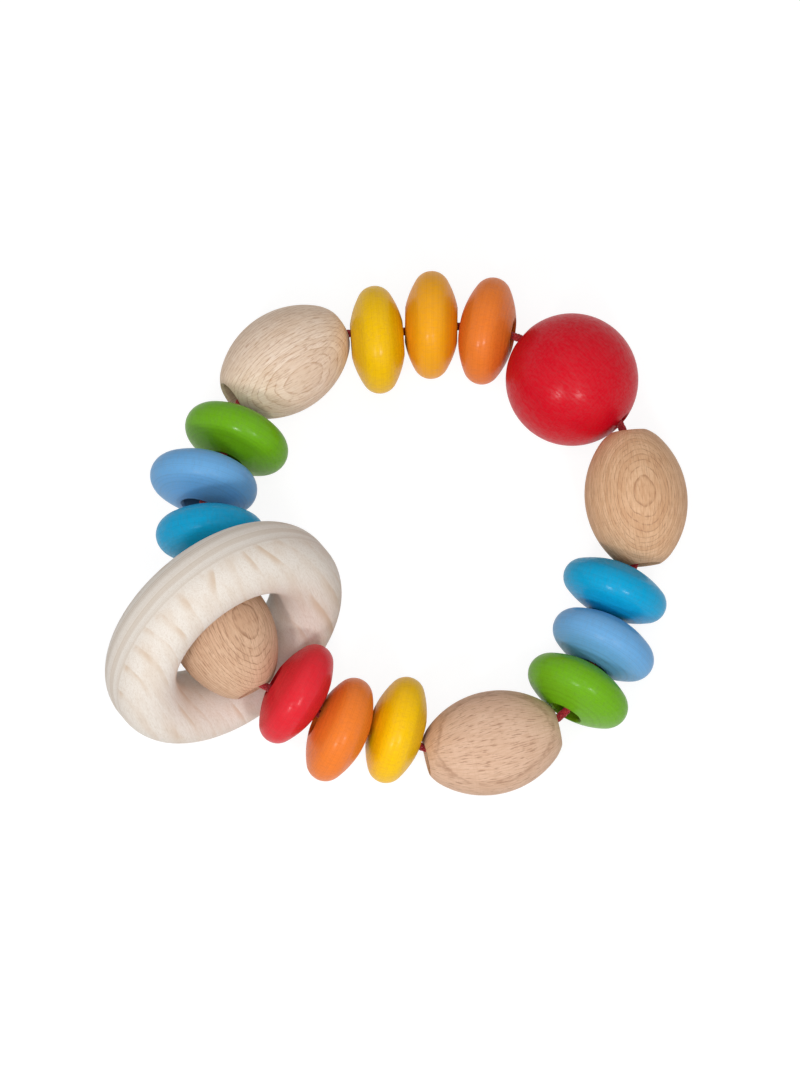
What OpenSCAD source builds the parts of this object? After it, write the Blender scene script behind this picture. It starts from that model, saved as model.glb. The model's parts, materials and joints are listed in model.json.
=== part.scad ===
// Wooden touch ring: a closed loop of wooden beads strung on an elastic cord, with one loose
// wooden ring round a barrel bead. The loop lies on a table. The loose ring stands on its rim
// and leans, and it carries its bead and the neighbouring beads up off the table.
// Lengths are millimetres, angles are degrees, +Z is up, and the origin is on the table under
// the middle of the part.

/* [Ball] */
// Diameter of the ball
ball_d = 25; // [23:0.5:28]
// Diameter of the bore through the ball
ball_bore_d = 3.6; // [3.2:0.1:4.6]
// Diameter of the pocket that hides the knot
pocket_d = 6.4; // [6:0.1:8]
// Depth of the pocket below the ball's surface
pocket_depth = 9; // [7:0.5:11]

/* [Discs] */
// Diameter of a disc bead
disc_d = 20.4; // [19:0.2:22]
// Thickness of a disc bead over the rims of its bore
disc_t = 9.9; // [9:0.1:11]
// Radius that rounds a disc bead's rim
disc_rim_r = 3.4; // [2.8:0.1:4]

/* [Barrels] */
// Largest diameter of a barrel bead
barrel_d = 19.3; // [18:0.1:20]
// Length of a barrel bead over its flat ends
barrel_l = 25.3; // [23:0.1:28]
// Diameter of a barrel bead's flat ends
barrel_end_d = 6.8; // [6.8:0.1:8]
// Radius that rounds a barrel bead's shoulders
barrel_shoulder_r = 7.4; // [6.5:0.1:8]

/* [Wooden ring] */
// Outer diameter of the ring
ring_od = 49; // [46:0.5:54]
// Diameter of the ring's hole
ring_hole_d = 24.8; // [24.4:0.1:26]
// Thickness of the ring along its axis
ring_t = 14; // [12:0.5:16]
// Radius that rounds the ring's section
ring_round_r = 6.2; // [3:0.1:6.2]
// Lean of the ring from upright
ring_lean = 17; // [8:1:20]

/* [Cord] */
// Diameter of the elastic cord
cord_d = 1.6; // [1.4:0.1:2]
// Diameter of the bore through the discs and barrels
bore_d = 5.8; // [5.4:0.1:5.8]
// Chamfer at the mouths of the bores
bore_chamfer = 0.4; // [0.2:0.1:0.4]
// Length of the knot
knot_l = 5; // [4:0.1:6]

/* [Fit] */
// Gap between neighbouring beads
bead_gap = 0.2; // [0.2:0.05:1]
// Gap under the bead that hangs in the ring's hole
seat_gap = 1.9; // [1.7:0.05:2.1]
// Least gap between the ring and the discs beside it
ring_gap = 0.8; // [0.6:0.05:1.2]
// Gap all round the knot in its pocket
knot_gap = 0.4; // [0.3:0.05:0.6]
// Gap kept between the cord and the walls of the bores
cord_gap = 0.4; // [0.3:0.05:0.6]

/* [Hidden] */
$fn = 72;
// How far a cut runs past the surface that it opens
cut_over = 1;
BEECH = "#d8b18f";
MAPLE = "#e6dacb";
RED = "#d42434";
ORANGE = "#ee7f38";
AMBER = "#f4ae30";
YELLOW = "#f6c81f";
GREEN = "#7fb934";
SKY = "#78b1de";
TURQUOISE = "#16a5d2";

// The beads in stringing order, clockwise from the ball, as they lie on the table: name, kind,
// colour, heading and climb of the bore, heading of the line to the next bead's middle, the share
// of the ring's lift that reaches the bead, and the slack that is left before the next bead.
BEADS = [
    ["red_ball", "ball", RED, -42, -4, -63, 0, 0.5],
    ["right_barrel_bead", "barrel", BEECH, -84, -12, -103, 0.12, 0],
    ["right_turquoise_disc", "disc", TURQUOISE, -113, -8, -102, 0, 0],
    ["right_sky_disc", "disc", SKY, -117, 0, -118, 0, 0],
    ["right_green_disc", "disc", GREEN, -119, 0, -148, 0, 0],
    ["bottom_barrel_bead", "barrel", BEECH, -166, 1, -186, 0, 0],
    ["bottom_yellow_disc", "disc", YELLOW, -194, 9, -173, 0.1, 0],
    ["bottom_orange_disc", "disc", ORANGE, -200, 14, -214, 0.42, 0],
    ["bottom_red_disc", "disc", RED, -208, 14, -219, 0.76, 0],
    ["ring_barrel_bead", "barrel", BEECH, -241, 11, -263, 1, 0.8],
    ["left_turquoise_disc", "disc", TURQUOISE, -269, -1, -263, 1, 1.4],
    ["left_sky_disc", "disc", SKY, -282, -5, -300, 0.64, 1.9],
    ["left_green_disc", "disc", GREEN, -292, -6, -299, 0.26, 0.7],
    ["left_barrel_bead", "barrel", BEECH, -323, -5, -345, 0.1, 0],
    ["top_yellow_disc", "disc", YELLOW, -356, 0, -344, 0, 0],
    ["top_amber_disc", "disc", AMBER, -361, 0, -368, 0, 0],
    ["top_orange_disc", "disc", ORANGE, -371, 4, -393, 0.05, 0.5],
];
RING_BEAD = search(["ring_barrel_bead"], BEADS)[0];
// Turn of the ring's axis from its bead's heading, and the ring's shift along that axis
ring_turn = 7;
ring_shift = -0.6;

BEAD_NUMBERS = [0 : len(BEADS) - 1];
function kind(i) = BEADS[i][1];
function colour(i) = BEADS[i][2];
function heading(i) = BEADS[i][3];
function climb(i) = BEADS[i][4];
function link(i) = BEADS[i][5];
function lift_share(i) = BEADS[i][6];
function slack(i) = BEADS[i][7];
function after(i) = (i + 1) % len(BEADS);

// Vectors
UP = [0, 0, 1];
function unit(v) = v / norm(v);
function along(turn, rise) = [cos(rise) * cos(turn), cos(rise) * sin(turn), sin(rise)];
function across(v, axis) = v - (v * axis) * axis;
function shorten(v, most) = norm(v) > most ? v * most / norm(v) : v;
function total(list, i = 0) = i == len(list) - 1 ? list[i] : list[i] + total(list, i + 1);

// A four-centre oval with half axes a and b, rounded at the ends of a with radius r:
// where the end arcs have their centres, and the radius of the side arcs that they run into.
function end_centre(a, r) = a - r;
function side_radius(a, b, r) = (pow(end_centre(a, r), 2) + b * b - r * r) / (2 * (b - r));

// Furthest point of such an oval along a direction at an angle from half axis a
function oval_reach(a, b, r, angle) =
    let (c = end_centre(a, r), side = side_radius(a, b, r))
    c * sin(angle) > (side - b) * cos(angle)
        ? side - (side - b) * sin(angle)
        : c * cos(angle) + r;

// The barrel's oval, before its ends are cut flat, reaches past them
barrel_shoulder_at = barrel_l / 2 - sqrt(pow(barrel_shoulder_r, 2) - pow(barrel_end_d / 2, 2));
barrel_oval_a = barrel_shoulder_at + barrel_shoulder_r;

// A disc's faces pass through the rims of its mouths, so its crown is higher before it is bored.
// The centre of a face's arc lies this far beyond the disc's middle.
disc_mouth_r = bore_d / 2 + bore_chamfer;
function face_centre(c, r, half, mouth_r) =
    let (a = (pow(mouth_r, 2) + half * half - c * c - r * r) / (2 * r), b = half / r)
    (sqrt(a * a * b * b - (b * b - 1) * (a * a - c * c)) - a * b) / (b * b - 1);
disc_face_at = face_centre(end_centre(disc_d / 2, disc_rim_r), disc_rim_r, disc_t / 2, disc_mouth_r);
disc_face_r = norm([disc_mouth_r, disc_t / 2 + disc_face_at]);
disc_crown = disc_face_r - disc_face_at;

// Furthest point of a bead from its middle, at an angle of 0 to 90 from its bore
function disc_reach(angle) =
    disc_face_r * sin(angle) < disc_mouth_r
        ? disc_t / 2 * cos(angle) + disc_mouth_r * sin(angle)
        : oval_reach(disc_d / 2, disc_crown, disc_rim_r, 90 - angle);
function barrel_reach(angle) =
    barrel_shoulder_at + barrel_shoulder_r * cos(angle) > barrel_l / 2
        ? barrel_l / 2 * cos(angle) + barrel_end_d / 2 * sin(angle)
        : oval_reach(barrel_oval_a, barrel_d / 2, barrel_shoulder_r, angle);
function bead_reach(i, axis, direction) =
    let (angle = acos(min(1, abs(axis * direction))))
    kind(i) == "ball" ? ball_d / 2
    : kind(i) == "disc" ? disc_reach(angle)
    : barrel_reach(angle);
function half_length(i) =
    kind(i) == "ball" ? sqrt(pow(ball_d, 2) - pow(ball_bore_d, 2)) / 2
    : kind(i) == "disc" ? disc_t / 2
    : barrel_l / 2;

// Section of the wooden ring
ring_w = (ring_od - ring_hole_d) / 2;
ring_mid_r = (ring_od + ring_hole_d) / 4;
ring_flat = 0.2;
ring_r = min(ring_round_r, (min(ring_w, ring_t) - ring_flat) / 2);
ring_core_w = ring_w - 2 * ring_r;
ring_core_t = ring_t - 2 * ring_r;

// Furthest point of the ring from its middle, along a direction
function ring_reach(axis, direction) =
    let (a = abs(direction * axis))
    (ring_mid_r + ring_core_w / 2) * sqrt(1 - a * a) + ring_core_t / 2 * a + ring_r;

// The ring stands on its rim, and the cord holds its bead near the middle of its hole. The ring
// turns with the heading of its bead.
function ring_axis(turn) = along(turn + ring_turn, -ring_lean);
function ring_down(turn) = -unit(across(UP, ring_axis(turn)));
ring_drop = ring_hole_d / 2 - seat_gap
    - bead_reach(RING_BEAD, along(0, climb(RING_BEAD)), ring_down(0));
function ring_offset(turn) = ring_shift * ring_axis(turn) - ring_drop * ring_down(turn);
ring_lift = ring_reach(ring_axis(0), UP) - ring_offset(0)[2]
    - bead_reach(RING_BEAD, along(0, climb(RING_BEAD)), UP);

// Height of a bead's middle: it rests on the table, or takes its share of the ring's lift
function height(i) = bead_reach(i, along(0, climb(i)), UP) + lift_share(i) * ring_lift;

// The loop closes by bending: each heading turns by an angle that swings once round the loop
function bent(turn, bend) = turn + bend[0] * cos(turn) + bend[1] * sin(turn);
function bore_axis(i, bend) = along(bent(heading(i), bend), climb(i));

// Distance over the table between two neighbours' middles, as short as leaves the gap between
// them: of all planes across the line, some one keeps the two beads apart at the least distance
swing = 32;
swing_step = 4;
function bead_step(i, bend, rise, line) =
    let (j = after(i), axis_i = bore_axis(i, bend), axis_j = bore_axis(j, bend))
    min([
        for (turn = [-swing : swing_step : swing], tilt = [-swing : swing_step : swing])
        let (normal = along(bent(link(i), bend) + turn, tilt))
        (bead_reach(i, axis_i, normal) + bead_reach(j, axis_j, normal) + bead_gap - rise * normal[2])
            / (line * normal)
    ]);

// Gap between the ring and a disc whose middle lies at a given place, measured on the circle
// that the disc's rounded rim runs round
rim_step = 5;
function rim_gap(place, axis, ring_place, ring_dir) =
    let (side = unit(cross(axis, UP)), top = cross(side, axis), r = disc_d / 2 - disc_rim_r)
    min([
        for (turn = [0 : rim_step : 360])
        let (p = place + r * (cos(turn) * side + sin(turn) * top) - ring_place,
             out = abs(norm(across(p, ring_dir)) - ring_mid_r) - ring_core_w / 2,
             up = abs(p * ring_dir) - ring_core_t / 2)
        norm([max(out, 0), max(up, 0)])
    ]) - ring_r - disc_rim_r;

// Extra distance that a disc beside the ring's bead keeps to stay clear of the ring
extra_most = 8;
extra_step = 0.1;
function ring_extra(i, bend, least, rise, line) =
    let (turn = bent(heading(RING_BEAD), bend), disc = i == RING_BEAD ? after(i) : i)
    min([
        for (extra = [0 : extra_step : extra_most])
        let (reach = (least + extra) * line + rise * UP)
        if (rim_gap(i == RING_BEAD ? reach : -reach, bore_axis(disc, bend),
                    ring_offset(turn), ring_axis(turn)) >= ring_gap) extra
    ]);

// Step over the table from a bead's middle to the next one's
function step(i, bend) =
    let (rise = height(after(i)) - height(i), line = along(bent(link(i), bend), 0),
         least = bead_step(i, bend, rise, line) + slack(i),
         extra = i == RING_BEAD || after(i) == RING_BEAD ? ring_extra(i, bend, least, rise, line) : 0)
    (least + extra) * line;

// Bend that closes the loop, found by Newton's method
function closing_bend(rounds, bend = [0, 0]) =
    rounds == 0 ? bend :
    let (steps = [for (i = BEAD_NUMBERS) step(i, bend)],
         miss = total(steps),
         a = total([for (i = BEAD_NUMBERS) [-steps[i][1], steps[i][0]] * cos(link(i))]),
         b = total([for (i = BEAD_NUMBERS) [-steps[i][1], steps[i][0]] * sin(link(i))]),
         fix = [miss[0] * b[1] - b[0] * miss[1], a[0] * miss[1] - miss[0] * a[1]])
    closing_bend(rounds - 1, bend - fix / (a[0] * b[1] - b[0] * a[1]) * 180 / PI);

BEND = closing_bend(4);
AXES = [for (i = BEAD_NUMBERS) bore_axis(i, BEND)];
STEPS = [for (i = BEAD_NUMBERS) step(i, BEND)];
WALK = [for (i = 0, p = [0, 0, 0]; i < len(BEADS); p = p + STEPS[i], i = i + 1) p + height(i) * UP];
RING_AXIS = ring_axis(bent(heading(RING_BEAD), BEND));
RING_WALK = WALK[RING_BEAD] + ring_offset(bent(heading(RING_BEAD), BEND));

// The whole part is centred over the origin
function furthest(direction) = max(concat(
    [for (i = BEAD_NUMBERS) WALK[i] * direction + bead_reach(i, AXES[i], direction)],
    [RING_WALK * direction + ring_reach(RING_AXIS, direction)]));
MIDDLE = [
    (furthest([1, 0, 0]) - furthest([-1, 0, 0])) / 2,
    (furthest([0, 1, 0]) - furthest([0, -1, 0])) / 2,
    0,
];
POS = [for (p = WALK) p - MIDDLE];
RING_POS = RING_WALK - MIDDLE;

// Turns and moves a piece that is modelled round the Z axis
module place(position, axis) {
    translate(position)
        rotate([0, acos(axis[2]), atan2(axis[1], axis[0])])
            children();
}

// Four-centre oval with half axis a along X
module oval(a, b, r) {
    c = end_centre(a, r);
    side = side_radius(a, b, r);
    for (end = [-1, 1])
        translate([end * c, 0])
            circle(r);
    intersection() {
        translate([0, side - b])
            circle(side);
        translate([0, b - side])
            circle(side);
        square([2 * c * side / (side - r), 2 * b + cut_over], center = true);
    }
}

// Solid turned round the Z axis from the part of its profile to the right of the axis, cut to
// a length
module turned(d, length) {
    rotate_extrude()
        intersection() {
            children();
            translate([0, -length / 2])
                square([d, length]);
        }
}

// Plug that drills a bead through and breaks the edges of both mouths
module bore(d, half) {
    cylinder(d = d, h = 4 * half, center = true);
    for (end = [0, 1])
        mirror([0, 0, end])
            translate([0, 0, half - bore_chamfer])
                cylinder(d1 = d, d2 = d + 4 * bore_chamfer, h = 2 * bore_chamfer);
}

// Stained lens-shaped bead, turned from a round bar
module disc_bead(stain) {
    color(stain)
        difference() {
            turned(disc_d, 2 * disc_crown + cut_over)
                oval(disc_d / 2, disc_crown, disc_rim_r);
            bore(bore_d, disc_t / 2);
        }
}

// Bare beech bead with rounded shoulders and flat ends, the seam of its turning set to the side
barrel_seam = 90;
module barrel_bead(tone) {
    color(tone)
        rotate(barrel_seam)
            difference() {
                turned(barrel_d, barrel_l)
                    rotate(90)
                        oval(barrel_oval_a, barrel_d / 2, barrel_shoulder_r);
                bore(bore_d, barrel_l / 2);
            }
}

// Stained ball with a wider pocket at one mouth, where the knot is drawn in
module ball_bead(stain) {
    color(stain)
        difference() {
            sphere(d = ball_d);
            bore(ball_bore_d, half_length(0));
            translate([0, 0, -ball_d / 2 - cut_over])
                cylinder(d = pocket_d, h = pocket_depth + cut_over);
        }
}

module bead(i) {
    place(POS[i], AXES[i])
        if (kind(i) == "ball") ball_bead(colour(i));
        else if (kind(i) == "disc") disc_bead(colour(i));
        else barrel_bead(colour(i));
}

// Loose ring of pale maple with a fully rounded section
module wooden_ring() {
    color(MAPLE)
        place(RING_POS, RING_AXIS)
            rotate_extrude()
                translate([ring_mid_r, 0]) {
                    square([ring_core_w, ring_t], center = true);
                    square([ring_w, ring_core_t], center = true);
                    for (x = [-1, 1], y = [-1, 1])
                        translate([x * ring_core_w / 2, y * ring_core_t / 2])
                            circle(ring_r);
                }
}

// The knot lies in the ball's pocket, and the cord starts and ends at its two faces
knot_d = pocket_d - 2 * knot_gap;
knot_lobe_r = knot_l / 4;
knot_waist_r = knot_d / 2 - knot_lobe_r / 2;
KNOT_POS = POS[0] - (ball_d / 2 - pocket_depth + knot_gap + knot_l / 2) * AXES[0];

// Pulled-up knot: two lobes round a core, with a shallow waist between them
module cord_knot() {
    color(RED)
        place(KNOT_POS, AXES[0])
            rotate_extrude() {
                translate([0, -knot_l / 2])
                    square([knot_d / 2 - knot_lobe_r, knot_l]);
                translate([0, -knot_lobe_r])
                    square([knot_waist_r, 2 * knot_lobe_r]);
                for (end = [-1, 1])
                    translate([knot_d / 2 - knot_lobe_r, end * knot_lobe_r])
                        circle(knot_lobe_r);
            }
}

// The cord runs from mouth to mouth, between the bottoms of their chamfers. Where two mouths don't
// line up, it crosses to the side of each bore that faces the other, as far as the bore lets it.
function cord_play(i) = max(0, ((kind(i) == "ball" ? ball_bore_d : bore_d) - cord_d) / 2 - cord_gap);
function mouth(i, end) = POS[i] + end * (half_length(i) - bore_chamfer) * AXES[i];
function jog(i) = mouth(after(i), -1) - mouth(i, 1);
function leaves(i) = mouth(i, 1) + shorten(across(jog(i), AXES[i]) / 2, cord_play(i));
function enters(i) =
    let (j = after(i))
    mouth(j, -1) - shorten(across(jog(i), AXES[j]) / 2, cord_play(j));

// Points of the route from one face of the knot to the other, each with the bore's axis there
ROUTE = concat(
    [[KNOT_POS + knot_l / 2 * AXES[0], AXES[0]]],
    [for (i = BEAD_NUMBERS) each [[leaves(i), AXES[i]], [enters(i), AXES[after(i)]]]],
    [[KNOT_POS - knot_l / 2 * AXES[0], AXES[0]]]);

// Red elastic cord, swept along its route in rings that lie square to the bores
cord_sides = 8;
module elastic_cord() {
    last = (len(ROUTE) - 1) * cord_sides;
    sides = [0 : cord_sides - 1];
    rings = [
        for (stop = ROUTE)
        let (side = unit(cross(stop[1], UP)), top = cross(side, stop[1]))
        for (s = sides)
        let (turn = 360 * s / cord_sides)
        stop[0] + cord_d / 2 * (cos(turn) * side + sin(turn) * top)
    ];
    walls = [
        for (ring = [0 : cord_sides : last - 1], s = sides)
        let (a = ring + s, b = ring + (s + 1) % cord_sides)
        each [[a, b, b + cord_sides], [a, b + cord_sides, a + cord_sides]]
    ];
    caps = [for (s = [1 : cord_sides - 2]) each [[0, s + 1, s], [last, last + s, last + s + 1]]];
    color(RED)
        polyhedron(rings, concat(walls, caps));
}

for (i = BEAD_NUMBERS)
    bead(i);
wooden_ring();
elastic_cord();
cord_knot();
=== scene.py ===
import json
import math
from collections import namedtuple

import bmesh
import bpy
from mathutils import Matrix, Vector


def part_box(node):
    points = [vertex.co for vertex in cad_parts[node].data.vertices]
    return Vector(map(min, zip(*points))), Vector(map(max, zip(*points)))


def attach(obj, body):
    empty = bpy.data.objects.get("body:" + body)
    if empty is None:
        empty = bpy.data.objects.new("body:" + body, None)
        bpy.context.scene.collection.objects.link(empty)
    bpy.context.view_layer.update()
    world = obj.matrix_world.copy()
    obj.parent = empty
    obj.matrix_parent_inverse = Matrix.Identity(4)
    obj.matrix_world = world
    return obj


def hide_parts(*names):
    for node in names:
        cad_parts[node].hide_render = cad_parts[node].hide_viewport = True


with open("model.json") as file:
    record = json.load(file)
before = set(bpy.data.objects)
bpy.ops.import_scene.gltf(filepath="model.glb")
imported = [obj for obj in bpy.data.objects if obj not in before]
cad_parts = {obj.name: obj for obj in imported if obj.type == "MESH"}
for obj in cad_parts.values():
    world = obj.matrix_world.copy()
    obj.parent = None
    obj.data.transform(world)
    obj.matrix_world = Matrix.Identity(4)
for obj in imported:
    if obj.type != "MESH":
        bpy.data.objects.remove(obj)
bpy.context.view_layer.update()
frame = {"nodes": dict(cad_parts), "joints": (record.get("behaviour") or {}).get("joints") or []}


# Red ball: a beech ball, bored through along the grain, dyed red and dipped in satin lacquer.
# The knot of the cord is drawn into a wider pocket at its upper mouth, so the ball stays put.
MM = 0.001
WHITE = (1.0, 1.0, 1.0, 1.0)
CAMERA_RISE = math.radians(72)
CAMERA_SIDE = Vector((0.0, -math.cos(CAMERA_RISE), math.sin(CAMERA_RISE)))
BALL_BORE = Vector((0.7447, -0.6638, -0.0698))
BALL_STAIN = (210, 11, 33)
BALL_MOUTH, BALL_GRAIN, BALL_GLOSS = 1.8, 0.36, 0.29


def srgb(red, green, blue):
    """A colour as a paint chart gives it, 0 to 255, as the shader takes it."""
    linear = []
    for part in (red / 255, green / 255, blue / 255):
        linear.append(part / 12.92 if part <= 0.04045 else ((part + 0.055) / 1.055) ** 2.4)
    return (*linear, 1.0)


def wire(tree, node, wires):
    """Sets a node's sockets to values, or wires them to other nodes' sockets."""
    for socket, value in wires.items():
        if isinstance(value, bpy.types.NodeSocket):
            tree.links.new(value, node.inputs[socket])
        else:
            node.inputs[socket].default_value = value


def add(tree, kind, wires, **settings):
    """A new node with its settings, wired up."""
    node = tree.nodes.new(kind)
    for setting, value in settings.items():
        setattr(node, setting, value)
    wire(tree, node, wires)
    return node


def math_node(tree, operation, a, b=0.0):
    """The result of one sum on two values."""
    return add(tree, "ShaderNodeMath", {0: a, 1: b}, operation=operation).outputs[0]


def plus(tree, a, b):
    """Two values added."""
    return math_node(tree, "ADD", a, b)


def minus(tree, a, b):
    """The second value taken from the first."""
    return math_node(tree, "SUBTRACT", a, b)


def times(tree, a, b):
    """Two values multiplied."""
    return math_node(tree, "MULTIPLY", a, b)


def between(tree, value, rise, onto=(0.0, 1.0)):
    """A value eased from one range onto another, and held at the ends."""
    wires = {"Value": value, 1: rise[0], 2: rise[1], 3: onto[0], 4: onto[1]}
    return add(tree, "ShaderNodeMapRange", wires, interpolation_type="SMOOTHSTEP").outputs[0]


def vector_node(tree, operation, *vectors):
    """The node of one sum on vectors."""
    return add(tree, "ShaderNodeVectorMath", dict(enumerate(vectors)), operation=operation)


def blend(tree, share, under, over):
    """One colour with a share of another over it."""
    return add(tree, "ShaderNodeMix", {0: share, 6: under, 7: over}, data_type="RGBA").outputs[2]


def split(tree, place):
    """A place's three axes as values."""
    return add(tree, "ShaderNodeSeparateXYZ", {0: place}).outputs


def from_bore(tree, axes):
    """The distance from a piece's bore, which runs along Z."""
    squares = plus(tree, times(tree, axes["X"], axes["X"]), times(tree, axes["Y"], axes["Y"]))
    return math_node(tree, "SQRT", squares)


def wood_noise(tree, place, grains, detail=3.0, roughness=0.55):
    """Noise drawn out along the wood, from the grains in a millimetre along each axis."""
    drawn = vector_node(tree, "MULTIPLY", place, grains).outputs[0]
    wires = {"Vector": drawn, "Scale": 1.0, "Detail": detail, "Roughness": roughness}
    return add(tree, "ShaderNodeTexNoise", wires).outputs[0]


def line_noise(tree, along, lines, detail):
    """Noise that changes along one axis alone, from the lines in a millimetre."""
    wires = {"W": along, "Scale": lines, "Detail": detail}
    return add(tree, "ShaderNodeTexNoise", wires, noise_dimensions="1D").outputs[0]


def new_group(name, inputs, outputs):
    """An empty shader group with named sockets."""
    group = bpy.data.node_groups.new(name, "ShaderNodeTree")
    kinds = {"colour": "NodeSocketColor", "value": "NodeSocketFloat", "vector": "NodeSocketVector"}
    for in_out, sockets in (("INPUT", inputs), ("OUTPUT", outputs)):
        for socket, kind in sockets.items():
            group.interface.new_socket(socket, in_out=in_out, socket_type=kinds[kind])
    return group, group.nodes.new("NodeGroupInput").outputs, group.nodes.new("NodeGroupOutput")


def stained_grain_group():
    """Dyed beech under lacquer: flecks along the grain, tool lines round it, dark thirsty mouths."""
    group, given, result = new_group(
        "stained_grain",
        {"Place": "vector", "Stain": "colour", "Mouth": "value", "Grain": "value"},
        {"Colour": "colour", "Roughness": "value", "Coat": "value", "Height": "value"})
    place, stain, grain = given["Place"], given["Stain"], given["Grain"]
    soaked = (0.64, 0.46, 0.44, 1.0)
    deep = add(group, "ShaderNodeMix", {0: 1.0, 6: stain, 7: soaked}, data_type="RGBA",
               blend_type="MULTIPLY").outputs[2]
    pale = blend(group, 0.012, stain, WHITE)

    axes = split(group, place)
    flecks = wood_noise(group, place, grains=(4.5, 4.5, 0.5), detail=2.0)
    flecks = between(group, flecks, rise=(0.56, 0.72))
    cloud = wood_noise(group, place, grains=(0.25, 0.25, 0.12))
    mottle = wood_noise(group, place, grains=(2.2, 2.2, 0.8), detail=4.0, roughness=0.65)
    tool = line_noise(group, axes["Z"], lines=3.6, detail=3.0)
    past_mouth = minus(group, from_bore(group, axes), given["Mouth"])
    ragged = times(group, minus(group, mottle, 0.5), 1.1)
    mouth = between(group, plus(group, past_mouth, ragged), rise=(0.1, 0.7), onto=(1.0, 0.0))

    colour = blend(group, between(group, cloud, rise=(0.35, 0.7), onto=(0.0, 0.5)), stain, pale)
    colour = blend(group, times(group, between(group, mottle, rise=(0.4, 0.75)), grain), colour, deep)
    colour = blend(group, times(group, flecks, times(group, grain, 0.8)), colour, deep)
    colour = blend(group, between(group, tool, rise=(0.42, 0.72), onto=(0.0, 0.2)), colour, deep)
    colour = blend(group, times(group, mouth, 0.9), colour, deep)
    rough = plus(group, times(group, mottle, 0.3), 0.3)
    rough = plus(group, rough, times(group, mouth, 0.3))
    height = minus(group, times(group, mottle, 0.8), times(group, flecks, 0.5))
    height = plus(group, height, times(group, tool, 0.4))
    coat = between(group, mottle, rise=(0.36, 0.68), onto=(0.05, 0.48))
    wire(group, result, {"Colour": colour, "Roughness": rough, "Coat": coat, "Height": height})
    return group


STAINED_GRAIN = stained_grain_group()


def wood_place(tree, centre, bore, spin=0.0, tilt=0.0):
    """Millimetres from a piece's middle: Z along the bore, X towards the camera before a spin."""
    along = bore.normalized()
    facing = (CAMERA_SIDE - CAMERA_SIDE.dot(along) * along).normalized()
    turn = Matrix((facing, along.cross(facing), along)).transposed()
    turn = turn @ Matrix.Rotation(math.radians(spin), 3, "Z") @ Matrix.Rotation(math.radians(tilt), 3, "Y")
    object_place = add(tree, "ShaderNodeTexCoord", {}).outputs["Object"]
    wires = {"Vector": object_place, "Location": centre, "Rotation": turn.to_euler(), "Scale": (MM,) * 3}
    return add(tree, "ShaderNodeMapping", wires, vector_type="TEXTURE").outputs[0]


def new_finish(name):
    """An empty material with its surface shader."""
    finish = bpy.data.materials.new(name)
    finish.use_nodes = True
    return finish, finish.node_tree, finish.node_tree.nodes["Principled BSDF"]


def relief(tree, height, strength, depth):
    """A surface's small hills and hollows, with their depth in millimetres."""
    wires = {"Height": height, "Strength": strength, "Distance": depth * MM}
    return add(tree, "ShaderNodeBump", wires).outputs[0]


def stained_lacquer(name, centre, bore, stain, mouth, grain, gloss, spin=0.0):
    """A dyed bead's finish, with the grain set along its bore."""
    finish, tree, shader = new_finish(name)
    wood = add(tree, "ShaderNodeGroup", {
        "Place": wood_place(tree, centre, bore, spin), "Stain": srgb(*stain),
        "Mouth": mouth, "Grain": grain,
    }, node_tree=STAINED_GRAIN).outputs
    wire(tree, shader, {
        "Base Color": wood["Colour"], "Roughness": wood["Roughness"], "Specular IOR Level": 0.06,
        "Coat Weight": wood["Coat"], "Coat Roughness": gloss,
        "Normal": relief(tree, wood["Height"], strength=0.5, depth=0.07)})
    return finish


low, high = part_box("red_ball")
ball_middle = (low + high) / 2
frame["nodes"]["red_ball"].data.materials[0] = stained_lacquer(
    "red_ball_lacquer", ball_middle, BALL_BORE, BALL_STAIN, BALL_MOUTH, BALL_GRAIN, BALL_GLOSS)


# Disc beads: lens-shaped slices turned from beech rod, each dyed one clear colour and lacquered.
# They are threaded loosely on the cord, and each spins on it.
DISC_MOUTH, DISC_GRAIN = 2.9, 0.2
GRAIN_STEP = 37  # degrees round the bore, so that the discs don't all show the same grain
Stain = namedtuple("Stain", "colour gloss")
STAINS = {
    "turquoise": Stain((0, 160, 209), 0.21),
    "sky": Stain((106, 167, 217), 0.3),
    "green": Stain((107, 171, 17), 0.22),
    "yellow": Stain((243, 192, 0), 0.26),
    "orange": Stain((235, 125, 43), 0.26),
    "red": Stain((219, 36, 48), 0.26),
    "amber": Stain((244, 168, 24), 0.28),
}
spinning = {joint["child"]: joint for joint in frame["joints"]}


def seat(name):
    """The middle of a piece that spins, and the way that its bore runs."""
    return Vector(spinning[name]["pos_m"]), Vector(spinning[name]["axis"])


for name in spinning:
    if name.endswith("_disc"):
        stain = STAINS[name.split("_")[1]]
        frame["nodes"][name].data.materials[0] = stained_lacquer(
            name + "_lacquer", *seat(name), stain.colour, DISC_MOUTH, DISC_GRAIN, stain.gloss,
            spin=GRAIN_STEP * len(name))


# Barrel beads: bare beech, turned along the grain with rounded shoulders and flat ends, sanded and
# left without lacquer. Growth layers show as ovals, and short dark rays as flecks.
BARREL_RADIUS = 8.5  # a mean radius, on which the flecks are laid round the bead
ACROSS = (1.0, 1.0, 0.0)
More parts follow.
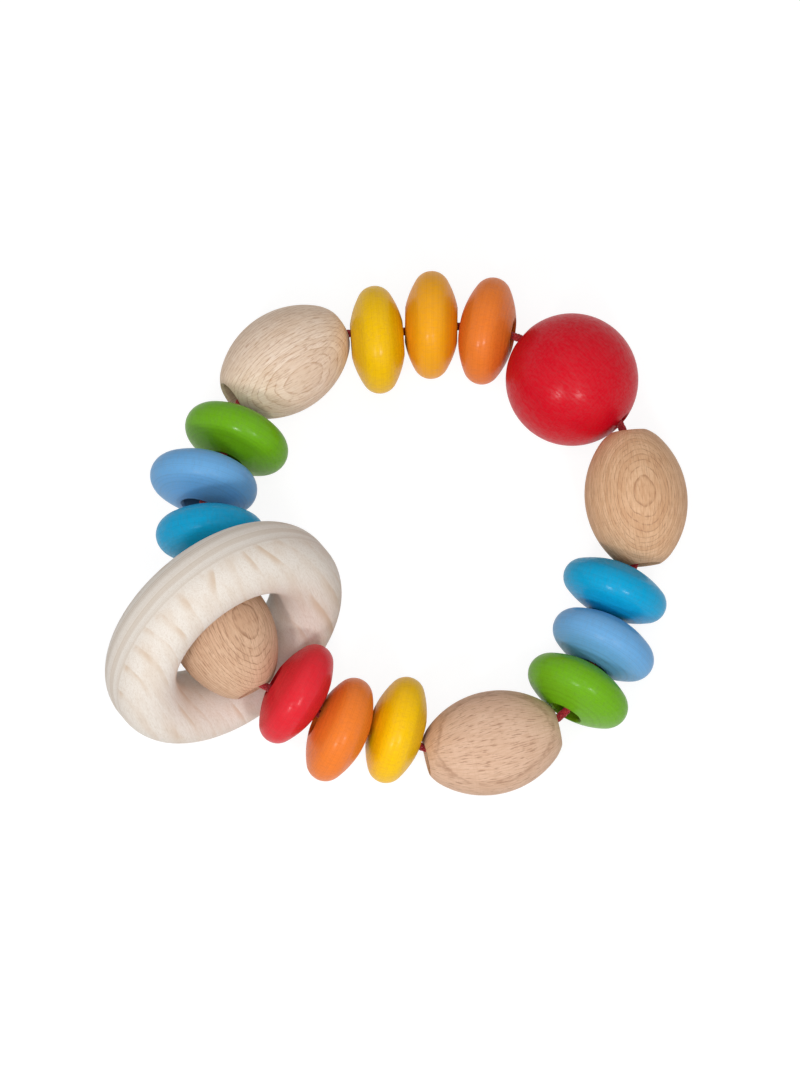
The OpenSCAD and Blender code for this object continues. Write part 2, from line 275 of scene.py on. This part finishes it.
# Each bead's cut of the tree: the turn and tilt of its face, in degrees, and how far in front of it
# the pith lay, the step of its layers and their sway, in millimetres.
BARRELS = {
    "right_barrel_bead": dict(
        spin=-9, tilt=0, pith=37, layer=0.5, sway=0.7, lines=0.6, rays=0.32,
        early=(226, 187, 151), late=(195, 146, 107), ray=(146, 98, 66)),
    "bottom_barrel_bead": dict(
        spin=10, tilt=0, pith=-60, layer=7.466, sway=2.6, lines=0.4, rays=0.56,
        early=(224, 191, 166), late=(198, 159, 131), ray=(142, 100, 73)),
    "ring_barrel_bead": dict(
        spin=33, tilt=3, pith=36, layer=0.62, sway=1.0, lines=0.7, rays=0.42,
        early=(218, 185, 156), late=(188, 148, 118), ray=(138, 94, 66)),
    "left_barrel_bead": dict(
        spin=32, tilt=2, pith=20.3, layer=0.75, sway=1.4, lines=0.6, rays=0.46,
        early=(239, 220, 202), late=(216, 186, 158), ray=(174, 127, 93)),
}


def beech_figure_group():
    """Bare beech: thin growth lines round a pith off the bead, rays as short flecks along the grain."""
    group, given, result = new_group(
        "beech_figure",
        {"Place": "vector", "Pith": "vector", "Layer": "value", "Early": "colour", "Late": "colour",
         "Ray": "colour", "Rays": "value", "Lines": "value", "Sway": "value"},
        {"Colour": "colour", "Height": "value"})
    place, late, ray = given["Place"], given["Late"], given["Ray"]
    axes = split(group, place)

    from_pith = vector_node(group, "SUBTRACT", place, given["Pith"]).outputs[0]
    level = vector_node(group, "MULTIPLY", from_pith, ACROSS).outputs[0]
    radius = vector_node(group, "LENGTH", level).outputs["Value"]
    sway = times(group, wood_noise(group, place, grains=(0.2, 0.2, 0.09)), given["Sway"])
    layers = math_node(group, "DIVIDE", plus(group, radius, sway), given["Layer"])
    share = math_node(group, "FRACT", layers)
    tone = add(group, "ShaderNodeTexWhiteNoise", {"W": math_node(group, "FLOOR", layers)},
               noise_dimensions="1D").outputs[0]
    line = times(group, between(group, share, rise=(0.72, 0.95)),
                 between(group, share, rise=(0.95, 1.0), onto=(1.0, 0.0)))
    broken = wood_noise(group, place, grains=(1.4, 1.4, 0.5))
    broken = between(group, broken, rise=(0.36, 0.6), onto=(0.15, 1.0))
    line = times(group, line, times(group, broken, given["Lines"]))

    outward = vector_node(group, "MULTIPLY", place, ACROSS).outputs[0]
    outward = vector_node(group, "NORMALIZE", outward).outputs[0]
    along = add(group, "ShaderNodeCombineXYZ", {"Z": axes["Z"]}).outputs[0]
    on_barrel = (BARREL_RADIUS, BARREL_RADIUS, 0.0)
    wrapped = vector_node(group, "MULTIPLY_ADD", outward, on_barrel, along).outputs[0]
    rays = wood_noise(group, wrapped, grains=(4.0, 4.0, 0.55), detail=2.0, roughness=0.5)
    rays = between(group, rays, rise=(0.54, 0.7))
    hair = wood_noise(group, wrapped, grains=(4.2, 4.2, 0.45), roughness=0.65)
    cloud = wood_noise(group, place, grains=(0.3, 0.3, 0.12))
    tool = line_noise(group, axes["Z"], lines=3.0, detail=2.0)

    colour = blend(group, times(group, tone, 0.4), given["Early"], late)
    colour = blend(group, between(group, cloud, rise=(0.35, 0.75), onto=(0.0, 0.4)), colour, late)
    colour = blend(group, between(group, hair, rise=(0.38, 0.7), onto=(0.0, 0.7)), colour, late)
    colour = blend(group, between(group, tool, rise=(0.5, 0.75), onto=(0.0, 0.2)), colour, late)
    colour = blend(group, line, colour, ray)
    colour = blend(group, times(group, rays, given["Rays"]), colour, ray)
    height = minus(group, times(group, hair, 0.7), rays)
    height = minus(group, height, times(group, line, 0.4))
    wire(group, result, {"Colour": colour, "Height": height})
    return group


BEECH_FIGURE = beech_figure_group()


def bare_beech(name, centre, bore, spin, tilt, pith, layer, sway, lines, rays, early, late, ray):
    """A bare beech bead's finish, with its own cut of the tree."""
    finish, tree, shader = new_finish(name)
    figure = add(tree, "ShaderNodeGroup", {
        "Place": wood_place(tree, centre, bore, spin, tilt), "Pith": (pith, 0.0, 0.0), "Layer": layer,
        "Sway": sway, "Lines": lines, "Rays": rays,
        "Early": srgb(*early), "Late": srgb(*late), "Ray": srgb(*ray),
    }, node_tree=BEECH_FIGURE).outputs
    wire(tree, shader, {
        "Base Color": figure["Colour"], "Roughness": 0.58, "Specular IOR Level": 0.15,
        "Normal": relief(tree, figure["Height"], strength=0.35, depth=0.06)})
    return finish


for name, cut in BARRELS.items():
    frame["nodes"][name].data.materials[0] = bare_beech(name + "_beech", *seat(name), **cut)


# Wooden ring: cut from a flat board of pale maple and turned to a full round section, sanded bare.
# It is loose round its barrel bead. The board's layers run round its rim.
RING_SPIN = 8
# Layers show on the rim from the near to the far side of the ring's middle plane, outside its
# middle radius, and growth lines lie a step apart on its faces, all in millimetres.
RIM_NEAR, RIM_FAR, RING_MIDDLE = 1.6, 5.0, 18.5
GROWTH_STEP, GROWTH_DRIFT = 4.2, 14.0
RIM_WAVES, RIM_START = 2.42, 5.92  # the layers' turn of wave in a millimetre, and where it starts
MAPLE_PALE, MAPLE_TAN, MAPLE_ROSE = (228, 220, 211), (200, 183, 165), (206, 181, 156)


def maple_board_group():
    """Bare maple: the board's layers show round the rim, faint figure lies across its faces, and a painted
    highlight lines the arris.
    """
    group, given, result = new_group(
        "maple_board",
        {"Place": "vector", "Near": "value", "Far": "value", "Middle": "value", "Pale": "colour",
         "Tan": "colour", "Rose": "colour"},
        {"Colour": "colour", "Height": "value"})
    place, pale, tan, rose = given["Place"], given["Pale"], given["Tan"], given["Rose"]
    axes = split(group, place)

    past_near = plus(group, axes["Z"], given["Near"])
    past_far = minus(group, axes["Z"], given["Far"])
    past_middle = minus(group, from_bore(group, axes), given["Middle"])
    on_rim = times(group, between(group, past_near, rise=(-0.15, 0.15)),
                   between(group, past_far, rise=(-0.5, 0.5), onto=(1.0, 0.0)))
    on_rim = times(group, on_rim, between(group, past_middle, rise=(-0.5, 0.5)))
    # Painted highlight: a thin pale line laid along the arris between the near face and the rim, where
    # light catches the edge.
    off_highlight_line = math_node(group, "ABSOLUTE", plus(group, past_near, 0.25))
    painted_arris_highlight = between(group, off_highlight_line, rise=(0.05, 0.4), onto=(0.6, 0.0))

    sway = minus(group, wood_noise(group, place, grains=(0.04, 0.04, 0.1), detail=2.0), 0.5)
    depth = plus(group, axes["Z"], times(group, sway, 1.5))
    waves = math_node(group, "SINE", plus(group, times(group, depth, RIM_WAVES), RIM_START))
    layers = plus(group, times(group, waves, 0.2), line_noise(group, depth, lines=4.0, detail=2.0))

    drift = times(group, wood_noise(group, place, grains=(0.02, 0.06, 0.06), detail=0.0), GROWTH_DRIFT)
    rings = math_node(group, "DIVIDE", plus(group, axes["Y"], drift), GROWTH_STEP)
    share = math_node(group, "FRACT", rings)
    growth = times(group, between(group, share, rise=(0.55, 0.92)),
                   between(group, share, rise=(0.92, 1.0), onto=(1.0, 0.0)))
    broken = wood_noise(group, place, grains=(0.07, 0.2, 0.2), detail=2.0)
    growth = times(group, growth, between(group, broken, rise=(0.4, 0.65), onto=(0.1, 0.8)))
    streaks = wood_noise(group, place, grains=(0.06, 0.42, 0.3), detail=2.0, roughness=0.5)
    streaks = between(group, streaks, rise=(0.42, 0.72))
    speck = wood_noise(group, place, grains=(1.2, 3.0, 3.0), detail=4.0, roughness=0.65)
    hair = wood_noise(group, place, grains=(0.35, 5.0, 5.0), roughness=0.6)

    colour = blend(group, between(group, speck, rise=(0.4, 0.75), onto=(0.0, 0.3)), pale, tan)
    colour = blend(group, times(group, streaks, 0.3), colour, rose)
    colour = blend(group, growth, colour, rose)
    colour = blend(group, times(group, painted_arris_highlight, 0.7), colour, pale)
    banded = blend(group, between(group, layers, rise=(0.3, 0.8), onto=(0.0, 0.62)), pale, tan)
    colour = blend(group, on_rim, colour, banded)
    colour = blend(group, between(group, hair, rise=(0.45, 0.72), onto=(0.0, 0.4)), colour, tan)
    wire(group, result, {"Colour": colour, "Height": hair})
    return group


finish, tree, shader = new_finish("wooden_ring_maple")
board = add(tree, "ShaderNodeGroup", {
    "Place": wood_place(tree, *seat("wooden_ring"), RING_SPIN),
    "Near": RIM_NEAR, "Far": RIM_FAR, "Middle": RING_MIDDLE,
    "Pale": srgb(*MAPLE_PALE), "Tan": srgb(*MAPLE_TAN), "Rose": srgb(*MAPLE_ROSE),
}, node_tree=maple_board_group()).outputs
wire(tree, shader, {
    "Base Color": board["Colour"], "Roughness": 0.6, "Specular IOR Level": 0.15,
    "Normal": relief(tree, board["Height"], strength=0.2, depth=0.04)})
frame["nodes"]["wooden_ring"].data.materials[0] = finish


# Elastic cord: a rubber core in a braided sleeve of red yarn, 1.6 mm thick. It runs through every
# bore from one side of the knot to the other, and shows only between the beads.
HALF_LENGTHS = {"ball": 12.37, "disc": 4.95, "bead": 12.65}
CHAMFER, BEAD_PLAY, BALL_PLAY = 0.4, 1.7, 0.6
KNOT_LENGTH, KNOT_DROP = 5.0, 6.4
YARN, CORD, PITCH, ENDS, PACE = 0.18 * MM, 1.6 * MM, 6.0 * MM, 6, 0.25 * MM
YARN_DARK, YARN_LIGHT, YARN_PAINTED_SHADE = (160, 18, 30), (188, 36, 44), (112, 8, 18)
FIBRES, PATCHES = 9000.0, 700.0  # in a metre of yarn
Threaded = namedtuple("Threaded", "kind middle bore play")
string = [Threaded("ball", ball_middle, BALL_BORE.normalized(), BALL_PLAY)]
for name in spinning:
    if name != "wooden_ring":
        middle, bore = seat(name)
        string.append(Threaded(name.split("_")[-1], middle, bore.normalized(), BEAD_PLAY))


def half_bore(piece):
    """The way from a piece's middle to the foot of its mouth's chamfer."""
    return (HALF_LENGTHS[piece.kind] - CHAMFER) * MM * piece.bore


def sideways(step, piece):
    """The half of a step's side shift that a piece's bore leaves room for."""
    side = (step - step.dot(piece.bore) * piece.bore) / 2
    most = piece.play * MM
    return side if side.length <= most else side * (most / side.length)


ball = string[0]
knot_middle = ball_middle - KNOT_DROP * MM * ball.bore
half_knot = KNOT_LENGTH / 2 * MM * ball.bore
route = [(knot_middle + half_knot, ball.bore)]
for here, there in zip(string, string[1:] + string[:1]):
    out = here.middle + half_bore(here)
    into = there.middle - half_bore(there)
    route.append((out + sideways(into - out, here), here.bore))
    route.append((into - sideways(into - out, there), there.bore))
route.append((knot_middle - half_knot, ball.bore))


def walk(stops, pace):
    """Points at an even pace along a route, each with the way that its section faces."""
    steps = []
    for (start, facing), (stop, next_facing) in zip(stops, stops[1:]):
        count = max(1, round((stop - start).length / pace))
        for number in range(count):
            share = number / count
            steps.append((start.lerp(stop, share), facing.lerp(next_facing, share).normalized()))
    return steps + stops[-1:]


def braided(name, routes, yarn, width, pitch, ends):
    """A sleeve of yarns, over one and under one, round a core along each route, as one mesh."""
    sleeve = bpy.data.curves.new(name, "CURVE")
    sleeve.dimensions = "3D"
    sleeve.bevel_depth = yarn
    sleeve.bevel_resolution = 1
    sleeve.use_fill_caps = True
    weave = 0.25 * yarn
    core_radius = (width / 2 - 1.5 * yarn) / yarn
    hands = [(hand, end) for hand in (1, -1) for end in range(ends)]
    for path in routes:
        core, yarns = [], {key: [] for key in hands}
        before, facing = path[0]
        side = facing.orthogonal().normalized()
        gone = 0.0
        for point, ahead in path:
            side = (side - side.dot(ahead) * ahead).normalized()
            top = ahead.cross(side)
            gone += (point - before).length
            before = point
            core.append(point)
            for hand, end in hands:
                turn = hand * math.tau * gone / pitch + math.tau * end / ends
                out = width / 2 - yarn - weave + hand * weave * math.cos(math.tau * ends * gone / pitch)
                yarns[hand, end].append(point + out * (math.cos(turn) * side + math.sin(turn) * top))
        for line, radius in [(core, core_radius)] + [(line, 1.0) for line in yarns.values()]:
            spline = sleeve.splines.new("POLY")
            spline.points.add(len(line) - 1)
            for place, point in zip(spline.points, line):
                place.co = (*point, 1.0)
                place.radius = radius
    shape = bpy.data.objects.new(name + "_curve", sleeve)
    bpy.context.scene.collection.objects.link(shape)
    bpy.context.view_layer.update()
    mesh = bpy.data.meshes.new_from_object(shape.evaluated_get(bpy.context.evaluated_depsgraph_get()))
    bpy.data.objects.remove(shape)
    mesh.name = name
    for face in mesh.polygons:
        face.use_smooth = True
    piece = bpy.data.objects.new(name, mesh)
    bpy.context.scene.collection.objects.link(piece)
    return piece


def red_yarn(name):
    """Dyed polyester yarn: fine fibres, a soft bloom, and painted shade in the hollows between fibres."""
    finish, tree, shader = new_finish(name)
    place = add(tree, "ShaderNodeTexCoord", {}).outputs["Object"]
    fibre = add(tree, "ShaderNodeTexNoise", {"Vector": place, "Scale": FIBRES, "Detail": 2.0}).outputs[0]
    patch = add(tree, "ShaderNodeTexNoise", {"Vector": place, "Scale": PATCHES, "Detail": 2.0}).outputs[0]
    colour = blend(tree, between(tree, patch, rise=(0.35, 0.7)), srgb(*YARN_DARK), srgb(*YARN_LIGHT))
    # Painted shade: fibre-scale noise darkens the yarn towards a deep red, standing in for shade in the
    # crevices between fibres.
    painted_shade = between(tree, fibre, rise=(0.45, 0.75), onto=(0.0, 0.5))
    wire(tree, shader, {
        "Base Color": blend(tree, painted_shade, colour, srgb(*YARN_PAINTED_SHADE)), "Roughness": 0.75,
        "Sheen Weight": 0.3, "Normal": relief(tree, fibre, strength=0.4, depth=0.05)})
    return finish


cord = braided("braided_elastic_cord", [walk(route, PACE)], YARN, CORD, PITCH, ENDS)
cord.data.materials.append(red_yarn("red_braid"))
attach(cord, "string")
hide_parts("elastic_cord")


# Knot: the cord's two ends tied in a barrel knot, pulled up tight and drawn into the ball's pocket.
# The cord runs on through the middle, and its turns lie side by side round it.
TURN_RADIUS, TURN_STEP, TURNS = 1.95 * MM, 1.6 * MM, 2.1
TIED_CORD, TIED_YARN = 1.55 * MM, 0.17 * MM
TURN_POINTS = 120
# The turns' ends are tucked in to this share of the radius, over an eighth of the length.
TUCKED, TUCK_PACE = 0.55, 8
axis = ball.bore
side = axis.orthogonal().normalized()
top = axis.cross(side)
turns = []
for number in range(TURN_POINTS + 1):
    share = number / TURN_POINTS
    turn = math.tau * TURNS * share
    spread = min(1.0, TUCK_PACE * share, TUCK_PACE * (1 - share))
    along = (share - 0.5) * TURNS * TURN_STEP
    radius = TURN_RADIUS * (TUCKED + (1 - TUCKED) * spread)
    outward = math.cos(turn) * side + math.sin(turn) * top
    facing = TURN_RADIUS * math.tau * axis.cross(outward) + TURN_STEP * axis
    turns.append((knot_middle + along * axis + radius * outward, facing.normalized()))
through = walk([(knot_middle + half_knot, axis), (knot_middle - half_knot, axis)], PACE)
knot = braided("tied_knot", [turns, through], TIED_YARN, TIED_CORD, PITCH, ENDS)
knot.data.materials.append(red_yarn("red_braid_knot"))
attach(knot, "string")
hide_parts("cord_knot")


# Floor, light and camera: a white table under a soft studio light, seen from high up in front
# through a long lens. The table shows white to the camera and keeps a soft shadow.
TABLE_REACH = 3.0
TABLE_GREY, TABLE_GLOW, GLOW_SHARE = (0.8, 0.8, 0.8, 1.0), 1.16, 0.75
ROOM_LIGHT = 0.4
rig = bmesh.new()
bmesh.ops.create_grid(rig, x_segments=1, y_segments=1, size=TABLE_REACH)
table = bpy.data.meshes.new("table_top")
rig.to_mesh(table)
rig.free()
floor = bpy.data.objects.new("table_top", table)
bpy.context.scene.collection.objects.link(floor)


def seen_rays(tree):
    """One for rays that show a surface: straight to the camera, by a reflection or through glass."""
    rays = add(tree, "ShaderNodeLightPath", {}).outputs
    by_glass = math_node(tree, "MAXIMUM", rays["Is Glossy Ray"], rays["Is Transmission Ray"])
    return math_node(tree, "MAXIMUM", rays["Is Camera Ray"], by_glass)


finish, tree, shader = new_finish("white_table")
wire(tree, shader, {"Base Color": TABLE_GREY, "Roughness": 0.9, "Specular IOR Level": 0.1})
glow = add(tree, "ShaderNodeEmission", {"Color": WHITE, "Strength": TABLE_GLOW}).outputs[0]
share = times(tree, seen_rays(tree), GLOW_SHARE)
mixed = add(tree, "ShaderNodeMixShader", {0: share, 1: shader.outputs[0], 2: glow}).outputs[0]
wire(tree, tree.nodes["Material Output"], {"Surface": mixed})
table.materials.append(finish)

world = bpy.data.worlds.new("studio")
bpy.context.scene.world = world
world.use_nodes = True
tree = world.node_tree
strength = plus(tree, times(tree, seen_rays(tree), 1 - ROOM_LIGHT), ROOM_LIGHT)
wire(tree, tree.nodes["Background"], {"Color": WHITE, "Strength": strength})


def studio_lamp(name, place, aim, size, power, mirrored):
    """A square studio lamp that faces a point. Lacquer mirrors it, or only takes its light."""
    lamp = bpy.data.lights.new(name, "AREA")
    lamp.size = size
    lamp.energy = power
    box = bpy.data.objects.new(name, lamp)
    box.location = place
    box.rotation_euler = (aim - place).to_track_quat("-Z", "Y").to_euler()
    box.visible_camera = False
    box.visible_glossy = mirrored
    bpy.context.scene.collection.objects.link(box)


AIM = Vector((0.0, 0.0, 0.015))
SOFTBOX_REACH, PANEL_REACH = 0.7, 0.9
left_place = AIM + SOFTBOX_REACH * Vector((-0.38, -0.654, 0.654))
right_place = AIM + SOFTBOX_REACH * Vector((0.25, -0.673, 0.696))
front_place = AIM + PANEL_REACH * Vector((0.0, -0.31, 0.95))
back_place = AIM + PANEL_REACH * Vector((-0.1, 0.55, 0.83))
studio_lamp("left_softbox", left_place, AIM, size=0.08, power=1.1, mirrored=True)
studio_lamp("right_softbox", right_place, AIM, size=0.08, power=1.1, mirrored=True)
studio_lamp("camera_panel", front_place, AIM, size=0.5, power=2.45, mirrored=False)
studio_lamp("back_panel", back_place, AIM, size=0.8, power=0.6, mirrored=False)

PHOTO_WIDTH, PHOTO_HEIGHT = 800, 1067
FRAME_WIDTH = 0.150
LOOK_AT = Vector((0.356 * MM, -1.001 * MM, 12 * MM))
camera = bpy.data.objects.new("camera", bpy.data.cameras.new("camera"))
camera.data.lens = 400
camera.data.sensor_width = 36
reach = FRAME_WIDTH * PHOTO_HEIGHT / PHOTO_WIDTH * camera.data.lens / camera.data.sensor_width
camera.location = LOOK_AT + reach * CAMERA_SIDE
camera.rotation_euler = (-CAMERA_SIDE).to_track_quat("-Z", "Y").to_euler()
camera.data.clip_end = 10
bpy.context.scene.collection.objects.link(camera)
bpy.context.scene.camera = camera
bpy.context.scene.view_settings.view_transform = "Standard"
